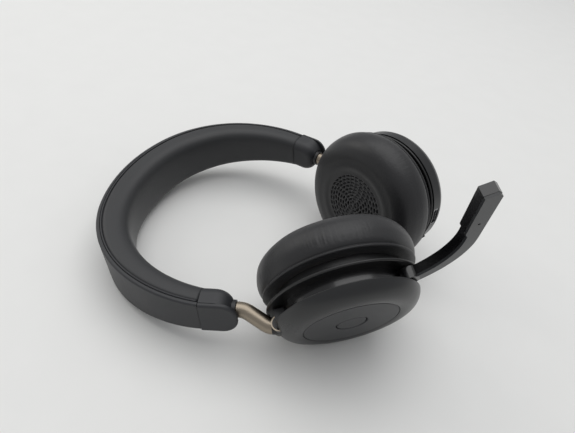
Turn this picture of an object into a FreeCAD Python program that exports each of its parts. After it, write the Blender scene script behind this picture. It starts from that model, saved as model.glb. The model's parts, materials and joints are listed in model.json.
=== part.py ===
"""Wireless on-ear office headset with a boom microphone, lying on a table.

Headset axes: +X from the crown of the headband towards the ear cups, +Y towards the
wearer's left, +Z towards the wearer's front, which faces up when the headset lies down.
Cup axes: X down the cup away from its arm, Z outward from the ear, origin at the centre
of the baffle's outer face.  Arm and leg axes: X down the leg, Y away from the head.
"""
import FreeCAD, Part
import math
import os
import Sketcher

Vec = FreeCAD.Vector
DOC = FreeCAD.newDocument("Headset")

DIMENSIONS = {
    # pose on the table, degrees
    "table_tilt": 7.96,
    "table_roll": 3.62,
    "leg_angle": 15.8,
    "swivel_right": 18.6,
    "swivel_left": 7.9,
    "tilt_right": 16.8,
    "tilt_left": 13.5,
    # headband centre line, from the crown to the leg ends
    "arch_height": 83.7,
    "crown_radius": 78,
    "crown_angle": 20,
    "shoulder_radius": 54.3,
    "shoulder_angle": 50.2,
    "side_radius": 63.7,
    "leg_straight": 8,
    # headband section
    "band_half_thick": 7.5,
    "crown_half_width": 12.9,
    "leg_half_width": 7.0,
    "leg_half_thick": 5.25,
    "cover_thick": 1.7,
    "cover_corner": 0.9,
    "spring_thick": 0.7,
    "spring_width": 10,
    # end caps and slider
    "cap_length": 14.6,
    "cap_half_width": 8.6,
    "cap_half_thick": 5.95,
    "cap_round": 4.6,
    "cap_gap": 0.35,
    "cap_split": 4.25,
    "nose_round": 8.0,
    "nose_reach": -0.8,
    "tongue_round": 7.4,
    "tongue_reach": 1.4,
    "tongue_rim": 1.2,
    "nose_bore": 4.5,
    "slider_radius": 4.1,
    "housing_length": 12,
    "strip_width": 4.6,
    "strip_thick": 1.2,
    "strip_length": 23,
    "strip_drop": 2.9,
    "guide_length": 7,
    "run_gap": 0.3,
    # arm
    "arm_radius": 3.4,
    "pin_radius": 2,
    "pin_length": 9,
    "arm_reach": 18.8,
    "arm_offset": 5.9,
    "eye_radius": 3.4,
    "eye_half_length": 3.7,
    # ear cup, radii and offsets from the baffle's outer face
    "hinge_radius": 29.2,
    "hinge_offset": 6.2,
    "cushion_radius": 34.9,
    "seam_radius": 32.8,
    "seam_offset": 5.8,
    "cushion_front": 23.8,
    "dish_radius": 16.5,
    "dish_depth": 0.3,
    "recess_radius": 27.6,
    "lip_radius": 33.4,
    "lip_thick": 1.3,
    "lip_top": 0.4,
    "rim_radius": 31.35,
    "rim_offset": 6,
    "face_radius": 20.7,
    "face_offset": 12.2,
    "disc_thick": 1,
    "shell_wall": 1.2,
    "channel_radius": 27,
    "ring_inner": 24,
    "driver_radius": 18,
    "magnet_radius": 8,
    "button_radius": 6.3,
    "slot_half_width": 4,
    # boom microphone, in the right cup's plane
    "boom_pivot_radius": 29.7,
    "boom_pivot_angle": 34,
    "boom_barrel": 3.8,
    "boom_low": 0.8,
    "boom_thick": 4.9,
    "boom_width": 4.9,
    "boom_curve": 32.6,
    "boom_curve_x": 8.4,
    "boom_curve_y": 44,
    "boom_head": 29,
    "boom_head_width": 6,
    "boom_lean": 2.5,
}

SHEET = DOC.addObject("Spreadsheet::Sheet", "Size")
for row, (alias, number) in enumerate(DIMENSIONS.items(), start=1):
    SHEET.set(f"A{row}", alias)
    SHEET.set(f"B{row}", str(number))
    SHEET.setAlias(f"B{row}", alias)
DOC.recompute()

NODES = {}
SCREW_CIRCLE = 25.6
SCREW_ANGLES = (80, 225, 320)
KEY_ANGLE = 34
POWER_ANGLE = -48


def size(alias):
    """A driving dimension, read from the sheet."""
    return float(getattr(SHEET, alias))


def bind(target, **expressions):
    """Bind properties of an object to expressions of the sheet's cells."""
    for name, text in expressions.items():
        target.setExpression(name, text)


# ---------------------------------------------------------------- frames

def frame(origin, x_axis, y_axis):
    """The placement whose X and Y axes are the two given unit vectors."""
    z_axis = x_axis.cross(y_axis)
    matrix = FreeCAD.Matrix(
        x_axis.x, y_axis.x, z_axis.x, origin.x,
        x_axis.y, y_axis.y, z_axis.y, origin.y,
        x_axis.z, y_axis.z, z_axis.z, origin.z,
        0, 0, 0, 1)
    return FreeCAD.Placement(matrix)


def arch_arcs():
    """Radius and angle of the arcs from the crown to a leg's straight end."""
    turned = size("crown_angle") + size("shoulder_angle")
    return [(size("crown_radius"), size("crown_angle")),
            (size("shoulder_radius"), size("shoulder_angle")),
            (size("side_radius"), 90 + size("leg_angle") - turned)]


def leg_half_span():
    """Distance of a leg's end from the middle plane, from the arcs of the arch."""
    turned, y = 0.0, 0.0
    for radius, angle in arch_arcs():
        start, end = math.radians(turned), math.radians(turned + angle)
        y += radius * (math.sin(end) - math.sin(start))
        turned += angle
    return y - size("leg_straight") * math.sin(math.radians(size("leg_angle")))


class Side:
    """The frames of one side: sign is -1 for the right side and +1 for the left."""

    def __init__(self, name, sign):
        self.name = name
        self.sign = sign
        lean = math.radians(size("leg_angle"))
        swivel = math.radians(size("swivel_" + name))
        tilt = math.radians(size("tilt_" + name))
        self.down = Vec(math.cos(lean), -sign * math.sin(lean), 0)
        flat_out = Vec(math.sin(lean), sign * math.cos(lean), 0)
        self.end = Vec(size("arch_height"), sign * leg_half_span(), 0)
        self.leg = frame(self.end, self.down, flat_out)
        self.out = flat_out * math.cos(swivel) - Vec(0, 0, 1) * math.sin(swivel)
        self.arm = frame(self.end, self.down, self.out)
        self.normal = self.out * math.cos(tilt) + self.down * math.sin(tilt)
        self.cup_down = self.down * math.cos(tilt) - self.out * math.sin(tilt)
        self.hinge = (self.end + self.down * size("arm_reach")
                      + self.out * size("arm_offset"))
        centre = (self.hinge + self.cup_down * size("hinge_radius")
                  - self.normal * size("hinge_offset"))
        self.cup_side = self.normal.cross(self.cup_down)
        self.cup = frame(centre, self.cup_down, self.cup_side)


RIGHT = Side("right", -1)
LEFT = Side("left", 1)
SIDES = (RIGHT, LEFT)
HOME = FreeCAD.Placement()


def keep(label, item, placement):
    """Name an object as a sub-part and put it in its place."""
    item.Label = label
    item.Placement = placement
    NODES[label] = item
    return item


# ---------------------------------------------------------------- builders

def sketch_on(body, role, name):
    """An empty sketch attached to one of the body's own origin planes."""
    plane = [f for f in body.Origin.OriginFeatures if f.Role == role][0]
    sketch = body.newObject("Sketcher::SketchObject", name)
    sketch.AttachmentSupport = [(plane, "")]
    sketch.MapMode = "FlatFace"
    return sketch


def draw_outline(sketch, outline):
    """Closed outline of lines and arcs, every corner bound to the sheet.

    Each corner is (x text, y text) or (x text, y text, bulge): with a bulge, the edge
    that arrives at the corner is an arc whose rise is that share of half its chord.
    """
    value = SHEET.evalExpression
    corners = [Vec(float(value(c[0])), float(value(c[1])), 0) for c in outline]
    count = len(corners)
    for index in range(count):
        start, end = corners[index - 1], corners[index]
        bulge = outline[index][2] if len(outline[index]) > 2 else 0
        if bulge:
            middle = (start + end) * 0.5
            across = (end - start).cross(Vec(0, 0, 1)) * (bulge / 2)
            sketch.addGeometry(Part.Arc(start, middle + across, end), False)
        else:
            sketch.addGeometry(Part.LineSegment(start, end), False)
    for index in range(count):
        tail = end_point(outline[index], True)
        head = end_point(outline[(index + 1) % count], False)
        sketch.addConstraint(
            Sketcher.Constraint("Coincident", index, tail, (index + 1) % count, head))
    for index in range(count):
        point = end_point(outline[index], True)
        pin_corner(sketch, index, point, corners[index], outline[index])
        if len(outline[index]) > 2 and outline[index][2]:
            arc = sketch.Geometry[index]
            sketch.addConstraint(Sketcher.Constraint("Radius", index, arc.Radius))


def end_point(corner, tail):
    """Which end of an edge, 1 or 2, is its tail: an arc runs counter-clockwise."""
    backwards = len(corner) > 2 and corner[2] < 0
    return (1 if backwards else 2) if tail else (2 if backwards else 1)


def pin_corner(sketch, index, point, place, corner):
    """Hold a corner at its two distances from the sketch's origin."""
    for kind, number, text in (("DistanceX", place.x, corner[0]),
                               ("DistanceY", place.y, corner[1])):
        if abs(number) < 1e-9:
            axis = -2 if kind == "DistanceX" else -1
            sketch.addConstraint(
                Sketcher.Constraint("PointOnObject", index, point, axis))
            continue
        made = sketch.addConstraint(
            Sketcher.Constraint(kind, -1, 1, index, point, number))
        sketch.setExpression(f"Constraints[{made}]", text)


def turned(name, outline):
    """A body of revolution about Z: the outline is (radius, height) texts."""
    body = DOC.addObject("PartDesign::Body", name)
    sketch = sketch_on(body, "XZ_Plane", name + "_profile")
    draw_outline(sketch, outline)
    solid = body.newObject("PartDesign::Revolution", name + "_turned")
    solid.Profile = sketch
    solid.ReferenceAxis = (sketch, ["V_Axis"])
    solid.Angle = 360
    sketch.Visibility = False
    return body


def rectangle(x_low, x_high, y_half):
    """A rectangle's outline, from x_low to x_high and y_half each side of X."""
    return [(x_high, f"-({y_half})"), (x_high, y_half),
            (x_low, y_half), (x_low, f"-({y_half})")]


def cylinder(name, radius, height, start="0"):
    """A cylinder on Z from start, sizes as texts."""
    item = DOC.addObject("Part::Cylinder", name)
    bind(item, Radius=radius, Height=height)
    item.setExpression("Placement.Base.z", start)
    return item


def box(name, low, high):
    """A box between two corners given as triples of texts."""
    item = DOC.addObject("Part::Box", name)
    for prop, axis, first, last in zip(("Length", "Width", "Height"), "xyz", low, high):
        item.setExpression(prop, f"({last}) - ({first})")
        item.setExpression(f"Placement.Base.{axis}", first)
    return item


def moved(item, radius, angle):
    """The item at a radius and an angle in degrees about Z, turned with it."""
    holder = group(item.Name + "_at", [item])
    turn = FreeCAD.Rotation(Vec(0, 0, 1), angle)
    holder.Placement = FreeCAD.Placement(turn.multVec(Vec(radius, 0, 0)), turn)
    return holder


def cut(name, base, *tools):
    """Base minus the tools."""
    item = DOC.addObject("Part::Cut", name)
    item.Base = base
    item.Tool = tools[0] if len(tools) == 1 else fuse(name + "_tools", *tools)
    return item


def fuse(name, *items):
    """The union of the items."""
    item = DOC.addObject("Part::MultiFuse", name)
    item.Shapes = list(items)
    return item


def group(name, items):
    """Separate solids kept together as one node."""
    item = DOC.addObject("Part::Compound", name)
    item.Links = list(items)
    return item


def shaped(name, shape):
    """An object whose shape is made here from the sheet's sizes."""
    item = DOC.addObject("Part::Feature", name)
    item.Shape = shape
    return item


# ---------------------------------------------------------------- headband

def arch_path():
    """Centre line from the right leg's end over the crown to the left leg's end."""
    spot, heading = Vec(0, 0, 0), 90.0
    half = []
    for radius, angle in arch_arcs():
        inward = Vec(math.cos(math.radians(heading - 90)),
                     math.sin(math.radians(heading - 90)), 0)
        centre = spot + inward * radius
        points = [spot]
        for share in (0.5, 1.0):
            turn = FreeCAD.Rotation(Vec(0, 0, 1), -angle * share)
            points.append(centre + turn.multVec(spot - centre))
        half.append(Part.Arc(*points))
        spot = points[-1]
        heading -= angle
    ahead = Vec(math.cos(math.radians(heading)), math.sin(math.radians(heading)), 0)
    half.append(Part.LineSegment(spot, spot + ahead * size("leg_straight")))
    left = [curve.toShape() for curve in half]
    mirror = [edge.mirror(Vec(0, 0, 0), Vec(0, 1, 0)) for edge in left]
    shift = Vec(size("arch_height") - (spot + ahead * size("leg_straight")).x, 0, 0)
    wire = Part.Wire(Part.__sortEdges__(mirror + left))
    wire.translate(shift)
    return wire


def section_at(edge, share, outline):
    """An outline of (outward, width) points set square to the path on one of its edges.

    The outline is a list of point lists: two points are a line, three are an arc.
    """
    first, last = edge.ParameterRange
    here = edge.valueAt(first + (last - first) * share)
    along = edge.tangentAt(first + (last - first) * share)
    across = along.cross(Vec(0, 0, 1))
    centre = Vec(size("arch_height") * 0.6, 0, 0)
    if across.dot(here - centre) < 0:
        across = across * -1
    edges = []
    for points in outline:
        spots = [here + across * q + Vec(0, 0, w) for q, w in points]
        if len(spots) == 2:
            edges.append(Part.LineSegment(*spots).toShape())
        else:
            edges.append(Part.Arc(*spots).toShape())
    return Part.Wire(edges)


def sweep(path, outline_of):
    """Sweep an outline along the arch, wide at the crown and narrow at the legs."""
    edges = path.Edges
    crown = min(edges, key=lambda e: e.BoundBox.XMin + abs(e.CenterOfMass.y) * 0.01)
    ends = sorted((e for e in edges if e.Curve.TypeId == "Part::GeomLine"),
                  key=lambda e: e.CenterOfMass.y)
    shell = Part.BRepOffsetAPI.MakePipeShell(path)
    shell.setBiNormalMode(Vec(0, 0, 1))
    leg = (size("leg_half_width"), size("leg_half_thick"))
    top = (size("crown_half_width"), size("band_half_thick"))
    shell.add(section_at(ends[0], far_end(ends[0]), outline_of(*leg)), False, False)
    shell.add(section_at(crown, near_middle(crown), outline_of(*top)), False, False)
    shell.add(section_at(ends[1], far_end(ends[1]), outline_of(*leg)), False, False)
    shell.build()
    shell.makeSolid()
    solid = shell.shape()
    return solid


def far_end(edge):
    """The share of an edge at which its end away from the crown lies."""
    first, last = edge.ParameterRange
    return 1 if edge.valueAt(last).x > edge.valueAt(first).x else 0


def near_middle(edge):
    """The share of the crown's edge at which it crosses the middle plane."""
    first, last = edge.ParameterRange
    return 0 if abs(edge.valueAt(first).y) < abs(edge.valueAt(last).y) else 1


def cover_outline(half_width, half_thick):
    """Outer strip: flat inside, rounded along both outer corners."""
    low = half_thick - size("cover_thick")
    high, corner = half_thick, size("cover_corner")
    wide, slant = half_width, corner * 0.3
    return [[(low, -wide), (low, wide)],
            [(low, wide), (high - corner, wide)],
            [(high - corner, wide), (high - slant, wide - slant), (high, wide - corner)],
            [(high, wide - corner), (high, corner - wide)],
            [(high, corner - wide), (high - slant, slant - wide), (high - corner, -wide)],
            [(high - corner, -wide), (low, -wide)]]


def cushion_outline(half_width, half_thick):
    """Padding: flat against the strip, a full round on the head's side."""
    top = half_thick - size("cover_thick") - 0.1
    wide, flank = half_width + 0.2, -0.5
    deep = -half_thick
    swell = deep * 0.62
    return [[(top, -wide), (top, wide)],
            [(top, wide), (flank, wide)],
            [(flank, wide), (swell, wide * 0.83), (deep, wide * 0.42)],
            [(deep, wide * 0.42), (deep, -wide * 0.42)],
            [(deep, -wide * 0.42), (swell, -wide * 0.83), (flank, -wide)],
            [(flank, -wide), (top, -wide)]]


def spring_outline(half_thick, gap):
    """Leaf spring that lies in the padding under the strip."""
    high = half_thick - size("cover_thick") - 0.1
    low = high - size("spring_thick") - gap
    wide = size("spring_width") / 2 + gap
    return [[(low, -wide), (low, wide)], [(low, wide), (high, wide)],
            [(high, wide), (high, -wide)], [(high, -wide), (low, -wide)]]


def leg_box(side, low, high):
    """A box in a leg's frame, as a shape."""
    lows, highs = Vec(*low), Vec(*high)
    extent = highs - lows
    shape = Part.makeBox(extent.x, extent.y, extent.z, lows)
    shape.Placement = side.leg.multiply(shape.Placement)
    return shape


def make_band():
    """Outer strip, leaf spring and padding, each one swept piece."""
    path = arch_path()
    reach = size("cap_length")
    cap_end = -reach - size("cap_gap")
    cap_room = [leg_box(s, (cap_end, -20, -20), (20, 20, 20)) for s in SIDES]
    cover = sweep(path, cover_outline).cut(cap_room)
    keep("band_cover", shaped("Cover", cover), HOME)
    guide_room = [leg_box(s, (-reach - size("guide_length") - 0.1, -4.5, -5.1),
                          (0, 2.5, 5.1)) for s in SIDES]
    strip_room = [strip_shape(s, 0.6, 4) for s in SIDES]
    pad_shape = sweep(path, cushion_outline).cut(cap_room + guide_room + strip_room)
    groove = sweep(path, lambda _, thick: spring_outline(thick, 0.1))
    keep("band_cushion", shaped("Padding", pad_shape.cut(groove)), HOME)
    spring_end = -reach - size("guide_length") - 2
    spring_room = [leg_box(s, (spring_end, -20, -20), (20, 20, 20)) for s in SIDES]
    spring = sweep(path, lambda _, thick: spring_outline(thick, 0)).cut(spring_room)
    keep("band_spring", shaped("Spring", spring), HOME)


# ---------------------------------------------------------------- end caps

def cap_blank(nose, corner, low, high):
    """A block in a leg's frame with a rounded nose, seen along the outward axis."""
    back, wide = -size("cap_length"), size("cap_half_width")
    turn = corner * (1 - math.sqrt(0.5))
    corners = [
        Part.LineSegment(Vec(back, low, -wide), Vec(nose - corner, low, -wide)),
        Part.Arc(Vec(nose - corner, low, -wide), Vec(nose - turn, low, turn - wide),
                 Vec(nose, low, corner - wide)),
        Part.LineSegment(Vec(nose, low, corner - wide), Vec(nose, low, wide - corner)),
        Part.Arc(Vec(nose, low, wide - corner), Vec(nose - turn, low, wide - turn),
                 Vec(nose - corner, low, wide)),
        Part.LineSegment(Vec(nose - corner, low, wide), Vec(back, low, wide)),
        Part.LineSegment(Vec(back, low, wide), Vec(back, low, -wide))]
    face = Part.Face(Part.Wire([line.toShape() for line in corners]))
    return face.extrude(Vec(0, high - low, 0))


def rounded_rim(block, height, radius):
    """The block with the edges at one height rounded, apart from its back edge."""
    back = -size("cap_length") + 0.01
    rim = [edge for edge in block.Edges
           if abs(edge.CenterOfMass.y - height) < 0.01 and edge.BoundBox.XMax > back]
    return block.makeFillet(radius, rim)


def make_caps(side):
    """Inner half with the nose, outer tongue, and the guide that holds the slider."""
    thick, low = size("cap_half_thick"), size("cap_split")
    bore = Part.makeCylinder(size("nose_bore"), 40, Vec(-35, 0, 0), Vec(1, 0, 0))
    inner = cap_blank(size("nose_reach"), size("nose_round"), -thick, low - 0.25)
    inner = rounded_rim(inner, -thick, size("cap_round")).cut(bore)
    screw_spots = [Vec(-size("cap_length") + 3.2, 0, z) for z in (-6.1, 6.1)]
    holes = [Part.makeCylinder(0.8, 6.5, spot + Vec(0, low - 4.5, 0), Vec(0, 1, 0))
             for spot in screw_spots]
    heads = [Part.makeCylinder(1.5, 1.2, spot + Vec(0, low - 1.1, 0), Vec(0, 1, 0))
             for spot in screw_spots]
    keep(f"cap_inner_{side.name}", shaped("CapInner", inner.cut(holes + heads)), side.leg)
    outer = cap_blank(size("tongue_reach"), size("tongue_round"), low, thick)
    outer = rounded_rim(outer, thick, size("tongue_rim")).cut(bore)
    keep(f"cap_outer_{side.name}", shaped("CapOuter", outer), side.leg)
    make_guide(side)


def make_guide(side):
    """Acetal guide: a block with a slot in which the strip slides."""
    side_name = side.name
    back = "-(Size.cap_length + Size.guide_length)"
    block = box("Guide", (back, "-4.3", "-4.9"), ("-Size.cap_length", "2.3", "4.9"))
    gap = "Size.run_gap / 2"
    slot = box("GuideSlot",
               (f"{back} - 1", "-Size.strip_drop - Size.strip_thick / 2 - " + gap,
                "-Size.strip_width / 2 - " + gap),
               ("0", "-Size.strip_drop + Size.strip_thick / 2 + " + gap,
                "Size.strip_width / 2 + " + gap))
    keep(f"slider_guide_{side_name}", cut("GuideBlock", block, slot), side.leg)


def make_cap_screws():
    """Four screws that hold the cap halves, in one node."""
    screws = []
    low = size("cap_split")
    for side in SIDES:
        for z in (-6.1, 6.1):
            spot = Vec(-size("cap_length") + 3.2, low - 4.4, z)
            shank = Part.makeCylinder(0.78, 3.4, spot, Vec(0, 1, 0))
            head = Part.makeCylinder(1.45, 1, spot + Vec(0, 3.4, 0), Vec(0, 1, 0))
            screw = shank.fuse(head).removeSplitter()
            screw.Placement = side.leg.multiply(screw.Placement)
            screws.append(screw)
    keep("cap_screws", shaped("CapScrews", Part.makeCompound(screws)), HOME)


# ---------------------------------------------------------------- slider and arm

def strip_shape(side, gap, extra):
    """The room that a slider's strip takes, with a gap round it, in place."""
    half = size("strip_width") / 2 + gap
    drop, thick = size("strip_drop"), size("strip_thick") / 2 + gap
    back = -size("housing_length") - size("strip_length") - extra
    return leg_box(side, (back, -drop - thick, -half), (0, -drop + thick, half))


def make_slider(side):
    """Steel strip and the housing in which the arm's pin turns."""
    back = "-(Size.housing_length + Size.strip_length)"
    strip = box("Strip", (back, "-Size.strip_drop - Size.strip_thick / 2",
                          "-Size.strip_width / 2"),
                ("-Size.housing_length", "-Size.strip_drop + Size.strip_thick / 2",
                 "Size.strip_width / 2"))
    keep(f"slider_strip_{side.name}", group("StripPlate", [strip]), side.leg)
    radius, length = size("slider_radius"), size("housing_length")
    body = Part.makeCylinder(radius, length, Vec(-length, 0, 0), Vec(1, 0, 0))
    pin_room = Part.makeCylinder(size("pin_radius") + 0.05, length,
                                 Vec(-length + 1.5, 0, 0), Vec(1, 0, 0))
    clip_room = Part.makeCylinder(3, 1.8, Vec(-length + 1.6, 0, 0), Vec(1, 0, 0))
    housing = body.cut([pin_room, clip_room])
    keep(f"swivel_housing_{side.name}", shaped("Housing", housing), side.leg)


def bent_path(points, radii):
    """A wire of straight runs joined by tangent arcs, in the XY plane."""
    edges, start = [], points[0]
    for before, corner, after, radius in zip(points, points[1:], points[2:], radii):
        back = (before - corner).normalize()
        ahead = (after - corner).normalize()
        half = math.acos(max(-1.0, min(1.0, back.dot(ahead)))) / 2
        run = radius / math.tan(half)
        middle = (back + ahead).normalize()
        centre = corner + middle * (radius / math.sin(half))
        first, last = corner + back * run, corner + ahead * run
        edges.append(Part.LineSegment(start, first).toShape())
        edges.append(Part.Arc(first, centre - middle * radius, last).toShape())
        start = last
    edges.append(Part.LineSegment(start, points[-1]).toShape())
    return Part.Wire(edges)


def make_arm(side):
    """Bent metal arm: a pin that turns in the slider and an eye for the tilt pin."""
    tilt = math.radians(size("tilt_" + side.name))
    hinge = Vec(size("arm_reach"), size("arm_offset"), 0)
    rise = math.radians(30)
    foot = Vec(3.5, 0, 0)
    back = Vec(-math.cos(tilt), math.sin(tilt), 0)
    slope = math.tan(rise)
    along = ((hinge.x - foot.x) * slope - hinge.y) / (back.y - back.x * slope)
    elbow = hinge + back * along
    start = Vec(size("run_gap"), 0, 0)
    path = bent_path([start, foot, elbow, hinge], (9, 7))
    ring = Part.Wire([Part.makeCircle(size("arm_radius"), start, Vec(1, 0, 0))])
    rod = path.makePipeShell([ring], True, False)
    eye = Part.makeCylinder(size("eye_radius"), 2 * size("eye_half_length"),
                            hinge - Vec(0, 0, size("eye_half_length")), Vec(0, 0, 1))
    pin = Part.makeCylinder(size("pin_radius"), size("pin_length"),
                            Vec(size("run_gap") - size("pin_length"), 0, 0), Vec(1, 0, 0))
    tip = Part.makeCylinder(1.4, 1.2, Vec(size("run_gap") - size("pin_length") - 1.2, 0, 0),
                            Vec(1, 0, 0))
    hole = Part.makeCylinder(1.05, 20, hinge - Vec(0, 0, 10), Vec(0, 0, 1))
    arm = rod.fuse([eye, pin, tip]).cut(hole).removeSplitter()
    keep(f"arm_{side.name}", shaped("Arm", arm), side.arm)
    clip = Part.makeCylinder(2.7, 0.6, Vec(size("run_gap") - size("pin_length") - 0.8, 0, 0),
                             Vec(1, 0, 0)).cut(tip)
    keep(f"swivel_clip_{side.name}", shaped("Clip", clip), side.arm)
    tilt_pin = Part.makeCylinder(1, 12, Vec(-size("hinge_radius"), -6, size("hinge_offset")),
                                 Vec(0, 1, 0))
    keep(f"tilt_pin_{side.name}", shaped("TiltPin", tilt_pin), side.cup)


# ---------------------------------------------------------------- ear cups

def place(label, side, item):
    """Keep a piece of a cup in the cup's frame."""
    return keep(f"{label}_{side.name}", item, side.cup)


def eye_room(name, half):
    """The room round the arm's eye, open to the rim."""
    barrel = DOC.addObject("Part::Cylinder", name + "Barrel")
    bind(barrel, Radius="Size.eye_radius + 0.4", Height=f"2 * ({half})")
    spot = Vec(-size("hinge_radius"), size("slot_half_width"), size("hinge_offset"))
    barrel.Placement = FreeCAD.Placement(spot, FreeCAD.Rotation(Vec(1, 0, 0), 90))
    mouth = box(name + "Mouth", ("-40", f"-({half})", "-5"),
                ("-Size.hinge_radius", half, "30"))
    return fuse(name, barrel, mouth)


def make_soft(side):
    """Ear cushion: a padded ring with a shallow dish and a hollow over the driver."""
    back, front = "-Size.seam_offset", "-Size.cushion_front"
    cushion = turned("Cushion", [
        ("19", back),
        ("19", "-14"),
        ("0", "-14"),
        ("0", "-Size.cushion_front + Size.dish_depth"),
        ("Size.dish_radius", "-Size.cushion_front + Size.dish_depth"),
        ("Size.dish_radius + 6", front),
        ("Size.cushion_radius", "-13", 0.72),
        ("Size.seam_radius", back, 0.3)])
    place("ear_cushion", side, cushion)
    ring = turned("CushionRing", [
        ("21", "-Size.lip_thick + Size.lip_top"),
        ("21", back),
        ("Size.recess_radius", back),
        ("Size.recess_radius", "-Size.lip_thick + Size.lip_top")])
    place("cushion_ring", side, ring)


def screw_tools(name, radius, height, start):
    """Three cylinders on the screw circle."""
    return [moved(cylinder(name, radius, height, start), SCREW_CIRCLE, angle)
            for angle in SCREW_ANGLES]


def make_baffle(side):
    """Baffle plate whose rim is the thin lip, with the holes of its three screws."""
    lip = "Size.lip_radius" if side is RIGHT else "Size.rim_radius - 0.3"
    low = "-Size.lip_thick + Size.lip_top"
    plate = turned("Baffle", [
        ("Size.driver_radius + 0.05", "Size.lip_top"),
        ("Size.driver_radius + 0.05", low),
        (f"{lip} - 0.5", low),
        (f"{lip} - 0.5", "Size.lip_top", 0.9)])
    notch = box("BaffleNotch", ("-40", "-4.4", "-0.3"), ("-32.2", "4.4", "5"))
    holes = screw_tools("BaffleHole", "0.9", "6", low + " - 1")
    heads = screw_tools("BaffleSeat", "1.7", "1.9", low + " - 1")
    place("baffle", side, cut("BafflePlate", plate, notch, *holes, *heads))
    screws = []
    for angle in SCREW_ANGLES:
        shank = cylinder("ScrewShank", "0.88", "5", "-0.4")
        head = cylinder("ScrewHead", "1.6", "0.8", low)
        screws.append(moved(fuse("Screw", shank, head), SCREW_CIRCLE, angle))
    place("cup_screws", side, group("CupScrews", screws))


def make_driver(side):
    """Loudspeaker: basket, domed diaphragm and magnet."""
    basket = turned("Basket", [
        ("Size.magnet_radius + 0.1", "2.4"),
        ("Size.driver_radius - 1.2", "1.4"),
        ("Size.driver_radius - 1.2", "-1"),
        ("Size.driver_radius", "-1"),
        ("Size.driver_radius", "2.2"),
        ("Size.magnet_radius + 0.1", "3.4")])
    vents = [moved(cylinder("Vent", "1.6", "6", "0"), 12.6, 60 * k) for k in range(6)]
    place("driver_frame", side, cut("BasketVented", basket, *vents))
    magnet = turned("Magnet", [
        ("0", "1"), ("Size.magnet_radius", "1"),
        ("Size.magnet_radius", "5.4"), ("0", "5.4")])
    place("driver_magnet", side, magnet)
    cone = turned("Diaphragm", [
        ("0", "-1.8"), ("4", "-1.6"), ("7", "-0.6"),
        ("Size.driver_radius - 4", "-0.9"),
        ("Size.driver_radius - 1.4", "-0.4"),
        ("Size.driver_radius - 1.4", "0"),
        ("Size.driver_radius - 4", "-0.4"),
        ("7", "-0.1"), ("3.6", "-1.1"), ("0", "-1.3")])
    place("driver_diaphragm", side, cone)


def ring_cuts(side):
    """What is cut out of the inner ring of a cup: hinge, screws, and boom or port."""
    tools = [box("RingHinge", ("-40", "-6.6", "-5"), ("-Size.ring_inner + 1.4", "6.6", "30"))]
    tools += screw_tools("RingHole", "0.88", "4.6", "0")
    if side is RIGHT:
        barrel = cylinder("BarrelRoom", "Size.boom_barrel + 0.4", "10", "0")
        tools.append(moved(barrel, size("boom_pivot_radius"), size("boom_pivot_angle")))
        tools.append(box("RockerRoom", ("-9", "-40", "0.2"), ("9", "-26.2", "20")))
    else:
        tools.append(box("PortRoom", ("20", "-4.7", "1.5"), ("40", "4.7", "5.1")))
    return tools


def make_ring(side):
    """Inner ring, the glossy wall at the bottom of the channel round the cup."""
    ring = turned("Ring", [
        ("Size.ring_inner", "Size.lip_top"),
        ("Size.channel_radius", "Size.lip_top"),
        ("Size.channel_radius", "Size.rim_offset"),
        ("Size.ring_inner", "Size.rim_offset")])
    place("inner_ring", side, cut("RingCut", ring, *ring_cuts(side)))
    bracket = box("Bracket", ("-30.4", "-6.5", "1"), ("-Size.ring_inner + 1.3", "6.5", "8.2"))
    mouth = box("BracketMouth", ("-40", "-Size.slot_half_width", "0"),
                ("-25.2", "Size.slot_half_width", "20"))
    bore = DOC.addObject("Part::Cylinder", "BracketBore")
    bind(bore, Radius="1", Height="20")
    spot = Vec(-size("hinge_radius"), 10, size("hinge_offset"))
    bore.Placement = FreeCAD.Placement(spot, FreeCAD.Rotation(Vec(1, 0, 0), 90))
    place("hinge_bracket", side, cut("BracketCut", bracket, mouth, bore))


def shell_outline(side):
    """Rear shell: the left one has a skirt that comes down to the baffle."""
    inner = "Size.ring_inner + 1"
    hole = "Size.button_radius + 0.5" if side is RIGHT else "0"
    top = [("Size.face_radius", "Size.face_offset", 0.42),
           ("Size.face_radius", "Size.face_offset - Size.disc_thick"),
           (hole, "Size.face_offset - Size.disc_thick"),
           (hole, "Size.face_offset - Size.disc_thick - Size.shell_wall"),
           (inner + " - 3.5", "Size.face_offset - Size.disc_thick - Size.shell_wall"),
           (inner, "8.3"),
           (inner, "Size.rim_offset")]
    if side is RIGHT:
        return [("Size.rim_radius - 0.3", "Size.rim_offset"),
                ("Size.rim_radius", "Size.rim_offset + 0.3", 0.4)] + top
    return [("Size.channel_radius + 2.6", "Size.rim_offset"),
            ("Size.channel_radius + 2.6", "Size.lip_top + 0.4"),
            ("Size.rim_radius", "Size.lip_top + 0.4"),
            ("Size.rim_radius", "Size.rim_offset")] + top


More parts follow.
